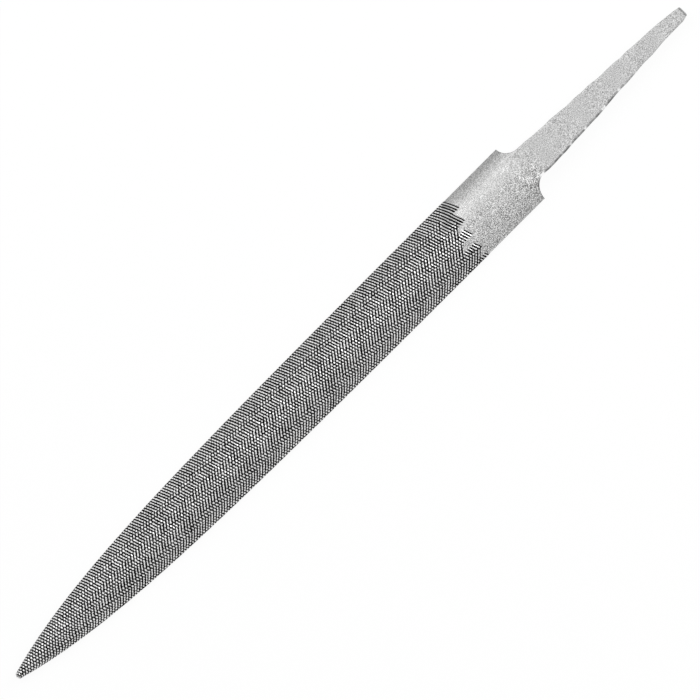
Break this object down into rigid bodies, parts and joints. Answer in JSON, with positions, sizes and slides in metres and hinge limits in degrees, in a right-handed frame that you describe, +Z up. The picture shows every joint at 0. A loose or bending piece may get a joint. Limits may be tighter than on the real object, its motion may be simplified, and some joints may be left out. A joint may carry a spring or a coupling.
{
  "type": "half round file",
  "caption": "Half round hand file without its handle: flat cut side, round cut back, tapered to a point, with a bare heel and a tapered tang.",
  "frame": {"origin": "middle of the outline from above, at the height of the tooth crests that the file lies on", "axes": "+X from the tang to the point, +Y to the edge that is lower right in the picture, +Z up out of the round back, with the flat side down"},
  "size_m": [0.1986, 0.0148, 0.0047],
  "materials": {
    "cut_steel": "hardened tool steel, chisel-cut teeth with bright crests and dark roots",
    "ground_steel": "finely ground and blasted, pale grey, satin",
    "tang_steel": "forged and blasted, soft, pale grey, satin"
  },
  "bodies": {
    "root": {"blade": "cut_steel", "heel": "ground_steel", "tang": "tang_steel"}
  },
  "joints": []
}
